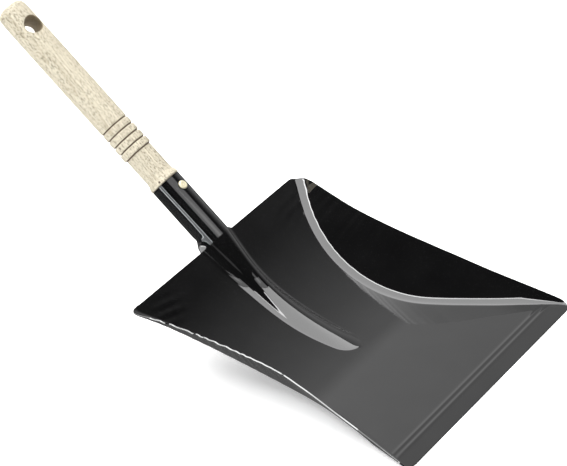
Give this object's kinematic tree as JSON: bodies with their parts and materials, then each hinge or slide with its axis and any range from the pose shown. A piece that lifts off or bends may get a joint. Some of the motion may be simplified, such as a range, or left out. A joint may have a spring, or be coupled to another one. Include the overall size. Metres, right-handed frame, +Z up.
{
  "type": "hand scoop shovel",
  "caption": "Short-handled scoop shovel: shallow pressed steel pan with flared sides, straight front lip, raised ridge, rolled socket and turned wooden handle.",
  "frame": {"origin": "middle of the bounding box's bottom: under the middle of the shovel, level with the front edge it stands on", "axes": "+Y from the front edge back to the handle, +X across the pan to the right seen from the handle, +Z up"},
  "size_m": [0.2228, 0.3914, 0.2253],
  "materials": {
    "black_lacquer": "gloss black lacquer over sheet steel",
    "pale_wood": "sanded, unvarnished",
    "pale_brass": "satin"
  },
  "bodies": {
    "root": {"blade": "black_lacquer", "handle": "pale_wood", "rivet": "pale_brass"}
  },
  "joints": []
}
